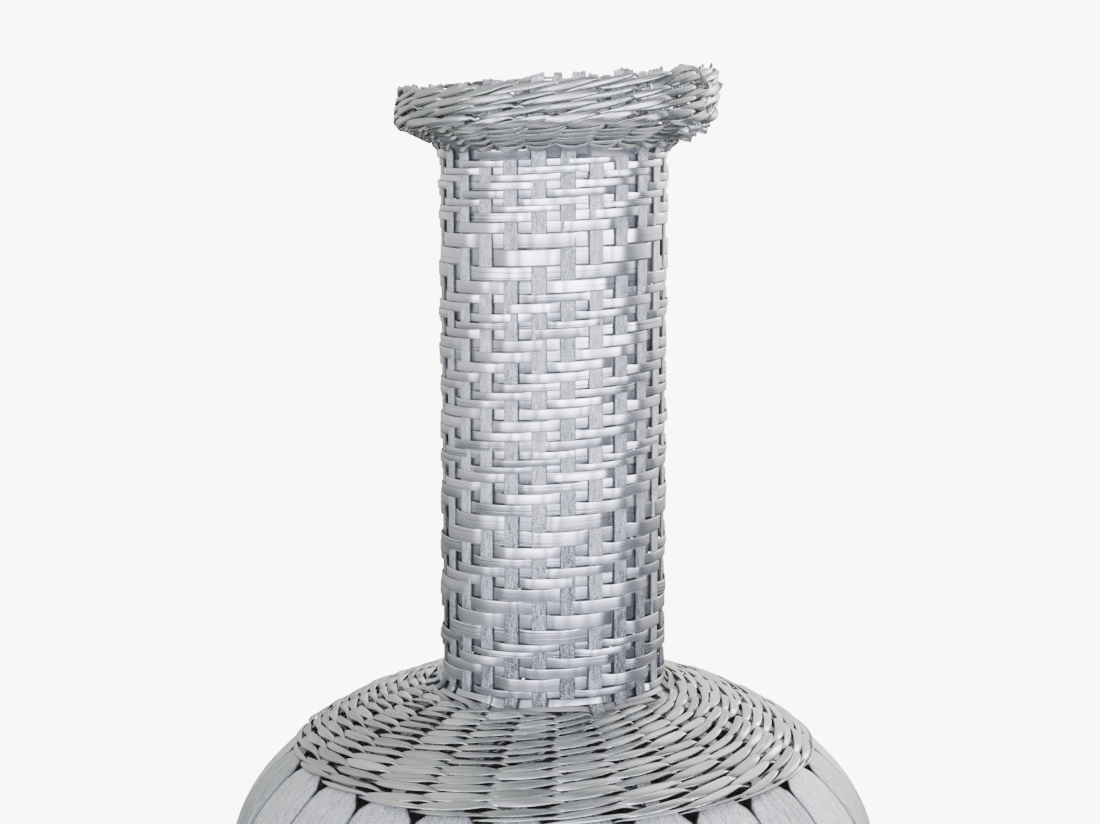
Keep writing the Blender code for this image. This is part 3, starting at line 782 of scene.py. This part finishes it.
# The stakes: narrow in the weave, broad round the belly.
stake = dict(
    width=0.008, thickness=0.0012, overlap=0.0002, footWidth=0.012, taper=0.042, shoulderTaper=0.011,
    underWeave=0.005, slat=0.02,             # from this width on it is a slat of the belly, bowed and even
    bowFrom=0.012, bowFade=0.02, unevenness=0.02, unevenSpacing=0.05,
    wander=0.006, wanderSpacing=0.06, wanderFade=0.05,
    cut=0.0036, lean=0.0016, tall=0.0021, tallShare=0.45, talls=(0.3, 1.0),
    torn=0.3, tears=(0.3, 1.3), tearFrom=0.005, tearLength=0.004, ragged=0.0009, slant=0.0011,
    endBare=0.3, endFade=0.06,               # the ends are painted nearly all round
    coveredShade=0.25, coverStart=0.001, coverFade=0.003, coverTop=0.004,
    lowerShade=0.90, lowerShadeFade=0.01, lowerShadeReach=0.165, shades=(0.2, 0.8), grainStep=1.1,
)
sliver = dict(rings=6, least=0.0003, root=0.001, spread=0.96, bend=0.0004, wide=1.06, taper=0.25,
              thinning=0.3, bareShadeAllRound=0.12)
stakeRings = [                               # from, to and how many: belly and shoulder, the bend, the neck
    (0, neckStart - 0.012, 70),
    (neckStart - 0.010, neckStart + 0.012, 14),
    (neckStart + 0.02, outline.ends["neck"] - 0.006, 24),
]
rimRings = (outline.ends["neck"] - 0.002, 30)            # where the last ones start, and how many they are
footEnd = foot["start"] + foot["rows"] * foot["row"]


def stakeWidth(distance):
    slat = 2 * outline.radius(distance) * math.tan(step / 2) + stake["overlap"]
    fromFoot = eased((distance - footEnd) / stake["taper"])
    toShoulder = (shoulderStart + stake["underWeave"] - distance) / stake["shoulderTaper"]
    toShoulder = np.clip(toShoulder, 0, 1) ** 0.5
    low = stake["footWidth"] + (slat - stake["footWidth"]) * fromFoot
    high = stake["width"] + (slat - stake["width"]) * toShoulder
    return np.where(distance < outline.ends["belly"], low, high)


def facing(points, passed):                  # the two directions of a stake's sections
    along = unit(np.gradient(points, axis=0))
    turn = math.pi / 2 - step * passed
    side = np.column_stack((-np.sin(turn), np.cos(turn), 0 * turn))
    out = unit(np.cross(side, along))
    return out, np.cross(along, out)


def splinters(number, passed, top, torn):    # the torn end of a stake, in three slivers
    strips = []
    share = np.linspace(0, 1, sliver["rings"])
    each = stake["width"] * (1 - torn) / 3
    slant = stake["slant"] * chance.uniform(-0.5, 0.5)
    for place in (-1, 0, 1):
        reach = sliver["least"] + stake["ragged"] * chance.uniform(0, 1) + abs(slant) + slant * place
        sideways = place * each * sliver["spread"]
        distance = top - sliver["root"] + (reach + sliver["root"]) * share
        lift = chance.uniform(-sliver["bend"], sliver["bend"]) * share
        points = onVase(distance, passed - sideways / (vase["rimRadius"] * step), lift)
        out, side = facing(points, np.full(len(share), passed))
        width = each * (sliver["wide"] - share ** 3 * chance.uniform(0.0, sliver["taper"]))
        thickness = stake["thickness"] * (1 - share * sliver["thinning"])
        strips.append(Strip(points, out, side, width, thickness, chance.uniform(),
                            start=number * stake["grainStep"] + place, bareAndShade=looseBare,
                            bareShadeAllRound=sliver["bareShadeAllRound"]))
    return strips


def makeStakes():
    top = outline.lengths[-1]
    weaveTop = top - stake["coverTop"]
    for number in range(vase["stakes"]):
        tall = 0.0                           # some stakes end above the last row
        if chance.uniform() < stake["tallShare"]:
            tall = stake["tall"] * chance.uniform(*stake["talls"]) * abs(math.cos(step * number))
        end = top + stake["cut"] + stake["lean"] * math.sin(step * number) + tall
        stretches = stakeRings + [(rimRings[0], end, rimRings[1])]
        distance = np.concatenate([np.linspace(*stretch) for stretch in stretches])
        free = np.clip((distance - shoulderStart) / stake["wanderFade"], 0, 1)
        passed = number + drift(distance, stake["wanderSpacing"], stake["wander"]) * free
        points = onVase(distance, passed, 0)
        out, side = facing(points, passed)
        width = stakeWidth(distance)
        uneven = drift(distance, stake["unevenSpacing"], stake["unevenness"])
        width = width * (1 + uneven * (width < stake["slat"]))
        torn = stake["torn"] * chance.uniform(*stake["tears"])
        width = width * (1 - torn * eased((distance - end + stake["tearFrom"]) / stake["tearLength"]))
        bow = np.where(width > stake["slat"], 1 / outline.radius(distance), 0)
        bow = bow * eased((width - stake["bowFrom"]) / stake["bowFade"])
        bareAndShade = np.clip((end - distance) / stake["endFade"], stake["endBare"], 1)
        # where the weave covers the stake it is darker: thin paint and painted shade, through the bare share
        fade = stake["coverFade"]
        bareShadeAllRound = eased((distance - shoulderStart - stake["coverStart"]) / fade)
        bareShadeAllRound = bareShadeAllRound * eased((neckStart - distance) / fade)
        bareShadeAllRound += eased((distance - neckTopPlace) / fade) * eased((weaveTop - distance) / fade)
        aboveFoot = distance - neckStart
        low = eased(aboveFoot / stake["lowerShadeFade"]) * eased(1 - aboveFoot / stake["lowerShadeReach"])
        shade = chance.uniform(*stake["shades"]) - stake["lowerShade"] * low       # painted shade: darker in the lower neck
        strip = Strip(points, out, side, width, stake["thickness"], shade, crownSection, bow,
                      number * stake["grainStep"], bareAndShade, bareShadeAllRound * stake["coveredShade"])
        name = f"{number + 1:02d}"
        joinStrips("stake" + name, [strip] + splinters(number, passed[-1], end, torn), stakePaint,
                   ["stake_" + name])


makeStakes()
print("stakes made")


# Camera, floor, light and backdrop.
camera = dict(place=(-0.0018, -1.18, 0.6642), pitch=math.radians(90 - 8.54), lens=72.8)
bpy.ops.object.camera_add(location=camera["place"], rotation=(camera["pitch"], 0, 0))
viewer = bpy.context.object
viewer.data.lens = camera["lens"]
viewer.data.sensor_width = 36
bpy.context.scene.camera = viewer
bpy.ops.object.select_all(action="DESELECT")
ground = dict(radius=0.7, sides=96, colour=(0.86, 0.86, 0.86, 1), roughness=0.8)


def makeFloor():
    bpy.ops.mesh.primitive_circle_add(vertices=ground["sides"], radius=ground["radius"], fill_type="NGON",
                                      location=(0, 0, 0))
    floor = bpy.context.object
    floor.name = "floor"
    material = bpy.data.materials.new("paleFloor")
    shader = Paint(material).tree.nodes["Principled BSDF"]
    shader.inputs["Base Color"].default_value = ground["colour"]
    shader.inputs["Roughness"].default_value = ground["roughness"]
    floor.data.materials.append(material)
    bpy.ops.object.select_all(action="DESELECT")


def makeLight(name, place, aim, width, height, power, colour):
    bpy.ops.object.light_add(type="AREA", location=place)
    lamp = bpy.context.object
    lamp.name = name
    lamp.data.shape = "RECTANGLE"
    lamp.data.size = width
    lamp.data.size_y = height
    lamp.data.energy = power
    lamp.data.color = colour
    lamp.rotation_euler = (Vector(aim) - Vector(place)).to_track_quat("-Z", "Y").to_euler()
    bpy.ops.object.select_all(action="DESELECT")


lampAim = (0, 0, 0.5)
lamps = [                                    # name, place, width, height, power and colour
    ("key", (-0.35, -1.7, 1.6), 1.3, 1.3, 10, (0.94, 0.93, 1.0)),
    ("top", (0.5, 0.3, 2.2), 1.2, 1.2, 5, (1, 1, 1)),
    ("farSide", (1.3, 1.2, 0.9), 0.4, 0.5, 9, (1, 1, 1)),
]
studio = [                                   # where the light comes from, how wide, and its colour
    ((-0.10, -0.98, 0.08), 0.30, 0.90, (0.9, 0.9, 1.05)),
    ((0.57, 0.67, 0.30), 0.55, 0.88, (2.4, 2.4, 2.3)),
    ((-0.95, 0.30, 0.05), 0.15, 0.75, (1.02, 1.05, 0.97)),
    ((0, 0.1, 1), 0.45, 0.92, (0.54, 0.56, 0.53)),
]
windows = [                                  # tall windows: degrees to the right of the camera, and colour
    (-50, (9.2, 9.3, 10.6)),
    (-13, (15.0, 15.0, 18.4)),
    (22, (15.4, 15.4, 18.8)),
    (56, (13.8, 13.9, 16.0)),
]
windowEdge = (math.cos(math.radians(16)), math.cos(math.radians(4)))
windowTop = (0.10, 0.44)                     # heights of the view's direction where a window fades out
windowFoot = (-0.22, -0.01)                  # and where it dims to the lower share
windowShares = (0.12, 0.88)
room = dict(dark=(0.10, 0.11, 0.13), ground=(0.05, 0.05, 0.06), groundFade=(-0.28, 0.0), groundShare=0.9,
            seen=(9, 9, 9))


# White for the camera, and for the light a studio that is brighter in places.
def makeBackdrop():
    world = bpy.data.worlds.new("studio")
    bpy.context.scene.world = world
    paint = Paint(world)
    paint.tree.nodes.clear()
    way = paint.node("ShaderNodeTexCoord")
    colour = room["dark"]
    for aim, low, high, glow in studio:
        toward = paint.node("ShaderNodeVectorMath", {"operation": "DOT_PRODUCT"},
                            {0: way, 1: Vector(aim).normalized()}, output=1)
        colour = paint.blend(paint.smooth(toward, low, high), colour, glow, "ADD")
    height = paint.node("ShaderNodeSeparateXYZ", None, {"Vector": way}, output=2)
    level = paint.node("ShaderNodeVectorMath", {"operation": "MULTIPLY"}, {0: way, 1: (1, 1, 0)})
    level = paint.node("ShaderNodeVectorMath", {"operation": "NORMALIZE"}, {0: level})
    for bearing, glow in windows:
        aim = (math.sin(math.radians(bearing)), -math.cos(math.radians(bearing)), 0)
        toward = paint.node("ShaderNodeVectorMath", {"operation": "DOT_PRODUCT"},
                            {0: level, 1: aim}, output=1)
        share = paint.smooth(toward, *windowEdge) * (1 - paint.smooth(height, *windowTop))
        share = share * (paint.smooth(height, *windowFoot) * windowShares[1] + windowShares[0])
        colour = paint.blend(share, colour, glow, "ADD")
    below = 1 - paint.smooth(height, *room["groundFade"])
    colour = paint.blend(below * room["groundShare"], colour, room["ground"])
    seen = paint.node("ShaderNodeLightPath")
    colour = paint.blend(seen, colour, room["seen"])
    sky = paint.node("ShaderNodeBackground", None, {"Color": colour, "Strength": 1.0})
    surface = paint.tree.nodes.new("ShaderNodeOutputWorld")
    paint.feed(surface.inputs["Surface"], sky)


makeFloor()
for name, place, width, height, power, colour in lamps:
    makeLight(name, place, lampAim, width, height, power, colour)
makeBackdrop()
print("camera, floor and lights set")
